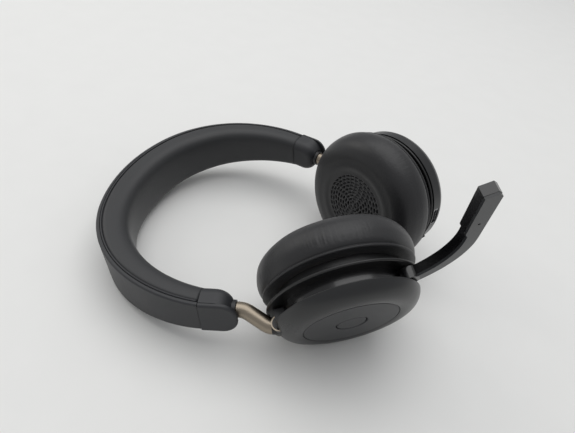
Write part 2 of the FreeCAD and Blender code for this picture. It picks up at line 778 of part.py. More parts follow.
def make_shell(side):
    """Rear shell and the flat disc on its face."""
    shell = turned("Shell", shell_outline(side))
    slot = eye_room("ShellSlot", "Size.slot_half_width")
    room = box("ShellBracket", ("-40", "-6.6", "-5"), ("-23", "6.6", "8.3"))
    tools = [slot, room]
    if side is RIGHT:
        pin = cylinder("PinRoom", "1.2", "7.4", "0")
        tools.append(moved(pin, size("boom_pivot_radius"), size("boom_pivot_angle")))
    else:
        tools.append(box("PortMouth", ("20", "-4.7", "1.5"), ("40", "4.7", "5.1")))
        key = box("KeyRoom", ("20", "-4.3", "1.6"), ("40", "4.3", "4.9"))
        tools.append(moved(key, 0, KEY_ANGLE))
    place("rear_shell", side, cut("ShellCut", shell, *tools))
    disc = turned("Disc", [
        ("Size.button_radius + 0.5", "Size.face_offset - Size.disc_thick"),
        ("Size.face_radius - 0.15", "Size.face_offset - Size.disc_thick"),
        ("Size.face_radius - 0.15", "Size.face_offset - 0.25"),
        ("Size.face_radius - 0.5", "Size.face_offset + 0.1"),
        ("Size.button_radius + 0.8", "Size.face_offset + 0.1"),
        ("Size.button_radius + 0.5", "Size.face_offset - 0.2")])
    place("face_disc", side, disc)


def make_badge():
    """Plain round inlay in the middle of the left cup's disc."""
    badge = turned("Badge", [
        ("0", "Size.face_offset - Size.disc_thick"),
        ("Size.button_radius", "Size.face_offset - Size.disc_thick"),
        ("Size.button_radius", "Size.face_offset - 0.3"),
        ("Size.button_radius - 0.4", "Size.face_offset"),
        ("0", "Size.face_offset")])
    place("face_inlay", LEFT, badge)


def make_button(side):
    """Round button in the middle of the disc, held by its flange under the shell."""
    button = turned("Button", [
        ("0", "9.2"), ("1.6", "9.2"), ("1.6", "9.3"),
        ("Size.button_radius + 1.3", "9.3"),
        ("Size.button_radius + 1.3", "9.65"),
        ("Size.button_radius", "9.65"),
        ("Size.button_radius", "Size.face_offset - 0.3"),
        ("Size.button_radius - 0.4", "Size.face_offset"),
        ("0", "Size.face_offset")])
    place("centre_button", side, button)
    switch = box("Switch", ("-2.6", "-2.6", "6.9"), ("2.6", "2.6", "8.5"))
    place("button_switch", side, group("SwitchBody", [switch]))


def make_board(side):
    """Circuit board on the inner ring."""
    board = cylinder("Board", "Size.ring_inner + 0.7", "0.9", "Size.rim_offset")
    notch = box("BoardNotch", ("-40", "-6.7", "0"), ("-Size.ring_inner + 1.6", "6.7", "20"))
    tools = [notch]
    if side is RIGHT:
        tools.append(box("BoardRocker", ("-9.2", "-40", "0"), ("9.2", "-23.4", "20")))
    place("circuit_board", side, cut("BoardCut", board, *tools))


def make_left_parts():
    """Battery, charging port and the key on the left cup's skirt."""
    battery = box("Battery", ("-11", "-13", "0"), ("11", "13", "2.9"))
    battery.setExpression("Placement.Base.z", "Size.rim_offset + 0.9")
    cell = DOC.addObject("Part::Fillet", "BatteryRound")
    cell.Base = battery
    DOC.recompute()
    cell.Edges = [(index, 0.9, 0.9) for index in (1, 3, 5, 7)]
    place("battery", LEFT, group("BatteryCell", [cell]))
    body = box("PortBody", ("23.6", "-4.5", "1.7"), ("30.9", "4.5", "4.9"))
    mouth = box("PortHollow", ("25", "-4.15", "2.05"), ("40", "4.15", "4.55"))
    blade = box("PortBlade", ("24.9", "-3.3", "3"), ("30", "3.3", "3.6"))
    port = fuse("PortWithBlade", cut("PortShell", body, mouth), blade)
    place("charging_port", LEFT, port)
    cap = box("Key", ("28.2", "-3.9", "2"), ("32", "3.9", "4.5"))
    flange = box("KeyFlange", ("28.1", "-4.6", "1.4"), ("28.6", "4.6", "5.1"))
    key = moved(fuse("KeyCap", cap, flange), 0, KEY_ANGLE)
    place("side_key", LEFT, group("KeySeat", [key]))


def make_right_parts():
    """Volume rocker with its pin, and the power slider, in the rear of the channel."""
    body = box("RockerBody", ("-7.6", "-30.6", "0.9"), ("7.6", "-27.2", "5.6"))
    rounded = DOC.addObject("Part::Fillet", "RockerRound")
    rounded.Base = body
    DOC.recompute()
    rounded.Edges = [(index, 0.7, 0.7) for index in (1, 5, 9, 11)]
    bore = cylinder("RockerBore", "0.65", "10", "0")
    bore.Placement.Base = Vec(0, -28.6, 0)
    place("volume_rocker", RIGHT, cut("RockerKey", rounded, bore))
    pin = cylinder("RockerPin", "0.6", "Size.rim_offset - Size.lip_top", "Size.lip_top")
    pin.Placement.Base = Vec(0, -28.6, 0)
    place("rocker_pin", RIGHT, group("RockerAxle", [pin]))
    knob = box("PowerKnob", ("27.4", "-3", "1.6"), ("29.6", "3", "4.8"))
    ribs = [box("PowerRib", ("29.5", f"{y}", "1.9"), ("30", f"{y} + 0.5", "4.5"))
            for y in (-1.9, -0.7, 0.5)]
    key = moved(fuse("PowerKey", knob, *ribs), 0, POWER_ANGLE)
    place("power_switch", RIGHT, group("PowerSeat", [key]))


# ---------------------------------------------------------------- boom

def boom_outline(trim):
    """The boom seen along its pivot: barrel, curved stretch, then the straight head."""
    half = size("boom_width") / 2 - trim
    curve = size("boom_curve")
    centre = Vec(size("boom_curve_x"), size("boom_curve_y"), 0)
    lean = size("boom_lean")
    first, last = -56.0, lean
    arc = []
    for radius in (curve + half, curve - half):
        points = [centre + Vec(radius * math.cos(math.radians(angle)),
                               radius * math.sin(math.radians(angle)), 0)
                  for angle in (first, (first + last) / 2, last)]
        arc.append(points)
    outer, inner = arc
    along = Vec(-math.sin(math.radians(lean)), math.cos(math.radians(lean)), 0)
    across = Vec(math.cos(math.radians(lean)), math.sin(math.radians(lean)), 0)
    length = size("boom_head") - trim
    step = size("boom_head_width") - size("boom_width")
    tip = outer[2] + along * length
    heel = inner[2] + along * (2.2 + trim)
    palm = inner[2] + along * (4.4 + trim) - across * step
    inner_tip = inner[2] - across * step + along * (length - 1.2)
    bevel = tip - across * 1.4
    edges = [Part.Arc(*outer), (outer[2], tip - along * 1.6), (tip - along * 1.6, bevel),
             (bevel, inner_tip), (inner_tip, palm), (palm, heel), (heel, inner[2]),
             Part.Arc(inner[2], inner[1], inner[0]), (inner[0], outer[0])]
    return Part.Wire([e.toShape() if isinstance(e, Part.Arc)
                      else Part.LineSegment(*e).toShape() for e in edges])


def make_boom():
    """Boom with its barrel, the cover on its outer face, its microphones and pin."""
    low, thick = size("boom_low"), size("boom_thick")
    skin = 1.1
    pivot = FreeCAD.Rotation(Vec(0, 0, 1), size("boom_pivot_angle")).multVec(
        Vec(size("boom_pivot_radius"), 0, 0))
    arm = Part.Face(boom_outline(0)).extrude(Vec(0, 0, thick - skin))
    arm.translate(Vec(0, 0, low))
    barrel = Part.makeCylinder(size("boom_barrel"), thick, pivot + Vec(0, 0, low))
    bore = Part.makeCylinder(1.05, 20, pivot + Vec(0, 0, -5))
    head = boom_head_point(size("boom_head") - 7)
    rooms = [Part.makeCylinder(1.55, 2.1, spot + Vec(0, 0, low + 1.5))
             for spot in (head, boom_head_point(size("boom_head") - 18))]
    arm = arm.fuse(barrel).cut([bore] + rooms).removeSplitter()
    keep("boom_arm", shaped("BoomArm", arm), RIGHT.cup)
    cover = Part.Face(boom_outline(0.12)).extrude(Vec(0, 0, skin))
    cover.translate(Vec(0, 0, low + thick - skin))
    port = Part.makeCylinder(0.5, 10, boom_head_point(size("boom_head") - 18))
    cover = cover.cut([Part.makeCylinder(size("boom_barrel"), 20, pivot), port])
    keep("boom_cover", shaped("BoomCover", cover), RIGHT.cup)
    capsules = [Part.makeCylinder(1.5, 1.9, spot + Vec(0, 0, low + 1.6))
                for spot in (head, boom_head_point(size("boom_head") - 18))]
    keep("boom_microphones", shaped("Microphones", Part.makeCompound(capsules)), RIGHT.cup)
    pin = Part.makeCylinder(1, size("rim_offset") + 1.2 - size("lip_top"),
                            pivot + Vec(0, 0, size("lip_top")))
    keep("boom_pin", shaped("BoomPin", pin), RIGHT.cup)


def boom_head_point(distance):
    """A point on the middle line of the boom's head."""
    lean = math.radians(size("boom_lean"))
    along = Vec(-math.sin(lean), math.cos(lean), 0)
    across = Vec(math.cos(lean), math.sin(lean), 0)
    shift = (size("boom_head_width") - size("boom_width")) / 2
    start = Vec(size("boom_curve_x"), size("boom_curve_y"), 0)
    return start + across * (size("boom_curve") - shift) + along * distance


# ---------------------------------------------------------------- assembly

def check_document():
    """Stop if any object failed, or any sub-part is empty or not valid."""
    DOC.recompute()
    for item in DOC.Objects:
        if "Invalid" in item.State or "Error" in item.State:
            raise RuntimeError(f"{item.Name} ({item.Label}) failed: {item.State}")
    for label, item in NODES.items():
        if item.Shape.isNull() or not item.Shape.isValid() or not item.Shape.Solids:
            raise RuntimeError(f"{label} has no valid solid")


def settle():
    """Tilt the headset onto the table and put the origin under its middle."""
    roll = FreeCAD.Rotation(Vec(1, 0, 0), size("table_roll"))
    rise = FreeCAD.Rotation(Vec(0, 1, 0), -size("table_tilt"))
    lean = FreeCAD.Placement(Vec(), rise.multiply(roll))
    for item in NODES.values():
        item.Placement = lean.multiply(item.Placement)
    DOC.recompute()
    bounds = FreeCAD.BoundBox()
    for item in NODES.values():
        bounds.add(item.Shape.optimalBoundingBox(False))
    middle = bounds.Center
    shift = FreeCAD.Placement(Vec(-middle.x, -middle.y, -bounds.ZMin), FreeCAD.Rotation())
    for item in NODES.values():
        item.Placement = shift.multiply(item.Placement)
    DOC.recompute()
    return shift.multiply(lean)


def build():
    """Make every sub-part."""
    make_band()
    for side in SIDES:
        make_caps(side)
        make_slider(side)
        make_arm(side)
        make_soft(side)
        make_baffle(side)
        make_driver(side)
        make_ring(side)
        make_shell(side)
        make_board(side)
    make_cap_screws()
    make_button(RIGHT)
    make_badge()
    make_left_parts()
    make_right_parts()
    make_boom()


build()
check_document()
TABLE = settle()
os.makedirs("parts", exist_ok=True)
for node, piece in NODES.items():
    piece.Shape.exportStep(f"parts/{node}.step")
print(len(NODES), "sub-parts written")
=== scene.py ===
"""Office headset: finishes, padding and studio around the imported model.

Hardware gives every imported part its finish. Headband and EarCushion read their places
from the frame's joints and mounts, and add the soft pieces and the beads in the seams.
Studio makes the table, the lights and the camera. Lengths are in metres, unless a name
or a comment gives them in millimetres.
"""

import json
import logging
import math
import random
from dataclasses import dataclass
from enum import Enum

import bmesh
import bpy
from mathutils import Matrix, Vector, noise
from mathutils.geometry import delaunay_2d_cdt


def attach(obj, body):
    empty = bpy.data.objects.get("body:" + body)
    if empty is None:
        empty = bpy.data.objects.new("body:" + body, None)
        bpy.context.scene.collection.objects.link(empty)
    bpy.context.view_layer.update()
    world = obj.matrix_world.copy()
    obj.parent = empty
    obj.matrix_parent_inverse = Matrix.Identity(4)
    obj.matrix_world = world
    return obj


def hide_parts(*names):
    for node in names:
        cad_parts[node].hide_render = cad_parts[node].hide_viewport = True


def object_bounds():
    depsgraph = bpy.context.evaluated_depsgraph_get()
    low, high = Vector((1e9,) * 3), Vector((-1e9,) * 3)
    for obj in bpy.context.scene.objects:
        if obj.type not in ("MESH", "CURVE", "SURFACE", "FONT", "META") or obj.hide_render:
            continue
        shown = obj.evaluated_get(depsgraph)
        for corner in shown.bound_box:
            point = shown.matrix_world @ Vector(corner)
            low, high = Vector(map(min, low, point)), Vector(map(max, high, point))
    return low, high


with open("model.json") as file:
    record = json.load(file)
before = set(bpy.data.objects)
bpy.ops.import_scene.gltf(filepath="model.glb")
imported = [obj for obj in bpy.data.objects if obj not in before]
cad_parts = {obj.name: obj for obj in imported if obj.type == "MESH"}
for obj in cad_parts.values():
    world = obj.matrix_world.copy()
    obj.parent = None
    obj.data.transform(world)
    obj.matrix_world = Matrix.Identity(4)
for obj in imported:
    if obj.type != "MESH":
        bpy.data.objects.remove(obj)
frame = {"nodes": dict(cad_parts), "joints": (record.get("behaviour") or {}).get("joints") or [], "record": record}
CAD_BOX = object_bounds()
LOG = logging.getLogger("headset")
MM = 0.001
# Scale of the slow drift in colour and roughness that every finish has.
PATCHES_PER_METRE = 45.0


# ---------------------------------------------------------------- colour and nodes

def linear(hex_colour: str) -> tuple[float, float, float, float]:
    """Turn an sRGB hex colour into the linear values a shader takes.

    Args:
        hex_colour: six hex digits, such as "2b2b2d".

    Returns:
        Red, green, blue and an alpha of one.
    """
    values = [int(hex_colour[k:k + 2], 16) / 255 for k in (0, 2, 4)]
    red, green, blue = [v / 12.92 if v <= 0.04045 else ((v + 0.055) / 1.055) ** 2.4
                        for v in values]
    return red, green, blue, 1.0


def add_node(tree: bpy.types.NodeTree, kind: str, settings: dict | None = None,
             links: dict | None = None) -> bpy.types.Node:
    """Add a node, set its properties and socket values, and link its inputs.

    Args:
        tree: the material's node tree.
        kind: the node's type name.
        settings: property names, or input names or numbers, with their values.
        links: input names or numbers with the output sockets that feed them.

    Returns:
        The new node.
    """
    node = tree.nodes.new(kind)
    for key, value in (settings or {}).items():
        if isinstance(key, str) and key not in node.inputs:
            setattr(node, key, value)
        else:
            node.inputs[key].default_value = value
    for key, socket in (links or {}).items():
        tree.links.new(socket, node.inputs[key])
    return node


class Grain(Enum):
    """How a surface was made, which decides the pattern of its relief."""

    SMOOTH = "polished or drawn, nearly no relief"
    PEBBLE = "embossed leather grain, rounded cells between fine valleys"
    SPARK = "moulded against a spark-eroded tool, random fine pits"
    BRUSHED = "drawn or ground one way, long thin scratches"
    MESH = "woven wire or cloth, crossed threads"


@dataclass(frozen=True)
class Finish:
    """One real material with the way its surface was made.

    Attributes:
        name: the material's common name, and how its surface was made.
        slot: the record's slot that it fills, empty for the stage.
        colour: base colour, sRGB hex.
        other: colour that the base drifts to in patches, sRGB hex.
        rough: middle roughness.
        drift: how far the roughness wanders each way.
        metal: metallic share.
        ior: index of refraction, kept at the default for metals.
        grain: pattern of the relief.
        grain_mm: spacing of the pattern.
        relief_mm: height of the pattern.
        coat: clear coat share.
        sheen: sheen share.
    """

    name: str
    slot: str
    colour: str
    other: str
    rough: float
    drift: float = 0.05
    metal: float = 0.0
    ior: float = 1.5
    grain: Grain = Grain.SPARK
    grain_mm: float = 1.0
    relief_mm: float = 0.02
    coat: float = 0.0
    sheen: float = 0.0

    def height(self, tree: bpy.types.NodeTree,
               place: bpy.types.NodeSocket) -> bpy.types.NodeSocket:
        """Build the pattern of the relief.

        Args:
            tree: the material's node tree.
            place: coordinates in metres.

        Returns:
            The height, from zero to one.
        """
        scale = 1 / (self.grain_mm * MM)
        if self.grain is Grain.PEBBLE:
            warp = add_node(tree, "ShaderNodeTexNoise",
                            {"Scale": scale * 0.6, "Detail": 2.0}, {"Vector": place})
            bend = add_node(tree, "ShaderNodeVectorMath",
                            {"operation": "MULTIPLY_ADD", 1: (self.grain_mm * MM,) * 3},
                            {0: warp.outputs["Color"], 2: place})
            cells = add_node(tree, "ShaderNodeTexVoronoi",
                             {"feature": "SMOOTH_F1", "Scale": scale,
                              "Smoothness": 0.4}, {"Vector": bend.outputs["Vector"]})
            fine = add_node(tree, "ShaderNodeTexNoise",
                            {"Scale": scale * 3, "Detail": 3.0}, {"Vector": place})
            dome = add_node(tree, "ShaderNodeMath", {"operation": "SUBTRACT", 0: 1.0},
                            {1: cells.outputs["Distance"]})
            total = add_node(tree, "ShaderNodeMath",
                             {"operation": "MULTIPLY_ADD", 1: 0.3},
                             {0: fine.outputs["Fac"], 2: dome.outputs["Value"]})
            return total.outputs["Value"]
        if self.grain is Grain.BRUSHED:
            drawn = add_node(tree, "ShaderNodeMapping", {"Scale": (0.05, 1.0, 1.0)},
                             {"Vector": place})
            lines = add_node(tree, "ShaderNodeTexNoise",
                             {"Scale": scale, "Detail": 2.0},
                             {"Vector": drawn.outputs["Vector"]})
            return lines.outputs["Fac"]
        if self.grain is Grain.MESH:
            threads = [add_node(tree, "ShaderNodeTexWave",
                                {"bands_direction": way, "Scale": scale / math.pi},
                                {"Vector": place}) for way in ("X", "Z")]
            woven = add_node(tree, "ShaderNodeMath", {"operation": "MAXIMUM"},
                             {0: threads[0].outputs["Fac"],
                              1: threads[1].outputs["Fac"]})
            return woven.outputs["Value"]
        detail = 1.0 if self.grain is Grain.SMOOTH else 5.0
        pits = add_node(tree, "ShaderNodeTexNoise",
                        {"Scale": scale, "Detail": detail, "Roughness": 0.6},
                        {"Vector": place})
        return pits.outputs["Fac"]

    def build(self) -> bpy.types.Material:
        """Make the material with its colour drift, roughness drift and relief.

        Returns:
            The material.
        """
        made = bpy.data.materials.new(self.name)
        made.use_nodes = True
        tree = made.node_tree
        shader = tree.nodes["Principled BSDF"]
        place = add_node(tree, "ShaderNodeTexCoord").outputs["Object"]
        patches = add_node(tree, "ShaderNodeTexNoise",
                           {"Scale": PATCHES_PER_METRE, "Detail": 4.0}, {"Vector": place})
        blend = add_node(tree, "ShaderNodeMix",
                         {"data_type": "RGBA", 6: linear(self.colour),
                          7: linear(self.other)}, {0: patches.outputs["Fac"]})
        height = self.height(tree, place)
        worn = add_node(tree, "ShaderNodeMath", {"operation": "MULTIPLY_ADD", 1: 0.3},
                        {0: height, 2: patches.outputs["Fac"]})
        rough = add_node(tree, "ShaderNodeMapRange",
                         {"From Min": 0.3, "From Max": 1.0,
                          "To Min": self.rough - self.drift,
                          "To Max": self.rough + self.drift}, {0: worn.outputs["Value"]})
        bump = add_node(tree, "ShaderNodeBump",
                        {"Strength": 1.0, "Distance": self.relief_mm * MM},
                        {"Height": height})
        tree.links.new(blend.outputs[2], shader.inputs["Base Color"])
        tree.links.new(rough.outputs["Result"], shader.inputs["Roughness"])
        tree.links.new(bump.outputs["Normal"], shader.inputs["Normal"])
        shader.inputs["Metallic"].default_value = self.metal
        if not self.metal:
            shader.inputs["IOR"].default_value = self.ior
        shader.inputs["Coat Weight"].default_value = self.coat
        shader.inputs["Sheen Weight"].default_value = self.sheen
        return made


# Moulded, sprayed and woven patterns are mostly finer than shows at this distance, so
# they are drawn several times their real size.

# PU leatherette on foam: soft satin with a shallow embossed grain. Real grain is
# about 0.5 mm; it is drawn at 1.1 mm so that it shows.
LEATHERETTE = Finish("PU leatherette, embossed", "padding_leatherette", "161618",
                     "1f1f21", 0.43, 0.06, grain=Grain.PEBBLE, grain_mm=1.1,
                     relief_mm=0.035, ior=1.5, sheen=0.05)
# Silicone-coated TPU of the headband's padding: smoother, with a dull bloom.
BAND_SKIN = Finish("TPU skin, matt", "padding_leatherette", "202123", "292a2c", 0.48,
                   0.05, grain=Grain.PEBBLE, grain_mm=1.0, relief_mm=0.012, ior=1.5,
                   sheen=0.08)
# Soft-touch PC/ABS of the outer strip, the beads and the end caps: fine dry grain.
STRIP = Finish("PC/ABS, soft-touch coat", "band_shell", "222326", "2b2c2f", 0.5, 0.07,
               grain=Grain.SPARK, grain_mm=0.9, relief_mm=0.02, ior=1.52)
# Moulded ABS of the cups' inner parts, the rocker and the power slider: matt black.
BLACK_ABS = Finish("ABS, matt moulded", "black_abs", "060607", "0a0a0b", 0.38, 0.05,
                   grain=Grain.SPARK, grain_mm=0.8, relief_mm=0.012, ior=1.54)
# Polished ABS of the ring in the channel, the boom's arm and the side key: a bright,
# slightly soft gloss.
GLOSS = Finish("ABS, polished", "gloss_black", "050506", "08080a", 0.24, 0.04,
               grain=Grain.SMOOTH, grain_mm=6.0, relief_mm=0.004, ior=1.54, coat=0.3)
# Shell of the cup: satin, spark-eroded tool texture.
SHELL = Finish("PC/ABS, spark-eroded satin", "shell_abs", "0f1011", "17181a", 0.3,
               0.05, grain=Grain.SPARK, grain_mm=0.8, relief_mm=0.016, ior=1.55)
# Disc on the cup's face, its button and its inlay: finer and lighter than the shell.
FACE = Finish("PC/ABS, fine satin", "face_plate", "222325", "2b2c2e", 0.46, 0.05,
              grain=Grain.SPARK, grain_mm=0.7, relief_mm=0.01, ior=1.55)
# Anodised aluminium arm: champagne-bronze, bead-blasted before anodising.
BRONZE = Finish("aluminium, bronze anodised", "bronze_metal", "8d8375", "9a9082", 0.36,
                0.06, metal=1.0, grain=Grain.SPARK, grain_mm=0.6, relief_mm=0.008)
# Spring steel of the slider strips, the clips and the band's spring: blue-grey, with
# drawn lines.
SPRING = Finish("spring steel, blued", "spring_steel", "8c8f96", "a0a3a8", 0.32, 0.08,
                metal=1.0, grain=Grain.BRUSHED, grain_mm=0.5, relief_mm=0.006)
# Ground steel of the pins, the screws and the charging port: bright, with fine lines.
PIN = Finish("steel, ground", "pin_steel", "b4b4b6", "c2c2c4", 0.25, 0.06, metal=1.0,
             grain=Grain.BRUSHED, grain_mm=0.4, relief_mm=0.005)
# Die-cast zinc under black e-coat: thin dark paint that keeps the casting's pits.
ZINC = Finish("zinc, black e-coat", "zinc_black", "1a1a1c", "222224", 0.4, 0.06,
              grain=Grain.SPARK, grain_mm=1.2, relief_mm=0.02, ior=1.5)
# Moulded acetal: waxy off-white, smooth.
ACETAL = Finish("acetal, natural", "acetal", "dddad0", "e6e3da", 0.42, 0.05,
                grain=Grain.SMOOTH, grain_mm=4.0, relief_mm=0.01, ior=1.48)
# Formed PET film of the diaphragms: thin, pale and shiny.
FILM = Finish("PET film, formed", "diaphragm_film", "a9a9a2", "b5b5ae", 0.25, 0.05,
              grain=Grain.SMOOTH, grain_mm=2.0, relief_mm=0.02, ior=1.57)
# Nickel plate on the magnets: nearly a mirror, faintly warm.
MAGNET = Finish("neodymium, nickel plated", "magnet", "b9b7b0", "c4c2bc", 0.2, 0.05,
                metal=1.0, grain=Grain.SMOOTH, grain_mm=3.0, relief_mm=0.005)
# Solder mask on glass cloth: green gloss, with the weave just under it.
BOARD = Finish("FR4, green solder mask", "board_green", "0f4a2c", "165a37", 0.3, 0.06,
               grain=Grain.MESH, grain_mm=0.6, relief_mm=0.01, ior=1.56)
# Foil pouch of the battery: soft silver, slightly crumpled.
FOIL = Finish("aluminium foil pouch", "cell_foil", "b9babd", "c6c7ca", 0.35, 0.08,
              metal=1.0, grain=Grain.PEBBLE, grain_mm=4.0, relief_mm=0.05)
# Painted cover of the boom: even dark satin.
BOOM_COVER = Finish("PC/ABS, satin paint", "boom_cover", "1e1f21", "282a2c", 0.38, 0.05,
                    grain=Grain.SPARK, grain_mm=0.7, relief_mm=0.01, ior=1.55)
# Woven stainless mesh over the microphones: small grey squares.
MIC_MESH = Finish("stainless mesh", "mic_mesh", "5c5c5e", "6e6e70", 0.35, 0.08,
                  metal=1.0, grain=Grain.MESH, grain_mm=0.35, relief_mm=0.05)
# Acoustic cloth behind the slots: almost black, no gloss.
CLOTH = Finish("polyester cloth, acoustic", "padding_leatherette", "08080a", "0d0d0f",
               0.9, 0.05, grain=Grain.MESH, grain_mm=0.5, relief_mm=0.05, ior=1.45)

FINISHES = (LEATHERETTE, STRIP, BLACK_ABS, GLOSS, SHELL, FACE, BRONZE, SPRING, PIN, ZINC,
            ACETAL, FILM, MAGNET, BOARD, FOIL, BOOM_COVER, MIC_MESH)


class Palette:
    """The materials made so far, one for each finish."""

    def __init__(self) -> None:
        """Start with none."""
        self.made: dict[str, bpy.types.Material] = {}

    def get(self, finish: Finish) -> bpy.types.Material:
        """Return the finish's material, made on first use."""
        if finish.name not in self.made:
            self.made[finish.name] = finish.build()
        return self.made[finish.name]

    def dress(self, piece: bpy.types.Object, *finishes: Finish) -> None:
        """Put the finishes' materials in the piece's slots, in order."""
        piece.data.materials.clear()
        for finish in finishes:
            piece.data.materials.append(self.get(finish))


# ---------------------------------------------------------------- places and meshes

@dataclass(frozen=True)
class Place:
    """A local frame: origin and three unit axes, in the frame's coordinates."""

    origin: Vector
    x: Vector
    y: Vector
    z: Vector

    def at(self, x: float, y: float, z: float) -> Vector:
        """Return the point at these local coordinates."""
        return self.origin + self.x * x + self.y * y + self.z * z

    def polar(self, radius: float, angle: float, z: float) -> Vector:
        """Return the point at a radius and an angle in radians about Z."""
        return self.at(radius * math.cos(angle), radius * math.sin(angle), z)


def joint(name: str) -> dict:
    """Return the joint's entry in the frame."""
    return next(entry for entry in frame["joints"] if entry["name"] == name)


def mount(name: str) -> dict:
    """Return the mount's entry in the record."""
    return next(entry for entry in frame["record"]["mounts"] if entry["name"] == name)


def piece_from(name: str, mesh: bmesh.types.BMesh, body: str) -> bpy.types.Object:
    """Make an object of a mesh, smooth, riding on a body.

    Args:
        name: the piece's name.
        mesh: its faces, which are freed here.
        body: the CAD body it moves with.

    Returns:
        The object.
    """
    bmesh.ops.recalc_face_normals(mesh, faces=mesh.faces)
    for face in mesh.faces:
        face.smooth = True
    data = bpy.data.meshes.new(name)
    mesh.to_mesh(data)
    mesh.free()
    made = bpy.data.objects.new(name, data)
    bpy.context.scene.collection.objects.link(made)
    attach(made, body)
    LOG.info("%s: %d faces on %s", name, len(data.polygons), body)
    return made


def bridge(mesh: bmesh.types.BMesh, first: list, second: list) -> None:
    """Join two closed rows of vertices with quads.

    Args:
        mesh: the mesh that holds both rows.
        first: one row's vertices.
        second: the other row's vertices, as many as in the first.
    """
    count = len(first)
    for k in range(count):
        after = (k + 1) % count
        mesh.faces.new((first[k], first[after], second[after], second[k]))


def round_corner(points: list[tuple[float, float]], steps: int) -> list:
    """Smooth an open outline by repeated corner cutting, ends kept.

    Args:
        points: the outline's corners.
        steps: how many times the corners are cut.

    Returns:
        The smoother outline.
    """
    for _ in range(steps):
        finer = [points[0]]
        for (ax, ay), (bx, by) in zip(points, points[1:]):
            finer.append((ax * 0.75 + bx * 0.25, ay * 0.75 + by * 0.25))
            finer.append((ax * 0.25 + bx * 0.75, ay * 0.25 + by * 0.75))
        finer.append(points[-1])
        points = finer
    return points


def resample(points: list[tuple[float, float]], count: int) -> list:
    """Place a count of steps evenly along an open outline."""
    lengths = [0.0]
    for (ax, ay), (bx, by) in zip(points, points[1:]):
        lengths.append(lengths[-1] + math.hypot(bx - ax, by - ay))
    made, k = [], 0
    for index in range(count + 1):
        want = lengths[-1] * index / count
        while k < len(points) - 2 and lengths[k + 1] < want:
            k += 1
        share = (want - lengths[k]) / max(lengths[k + 1] - lengths[k], 1e-12)
        (ax, ay), (bx, by) = points[k], points[k + 1]
        made.append((ax + (bx - ax) * share, ay + (by - ay) * share))
    return made


# ---------------------------------------------------------------- headband

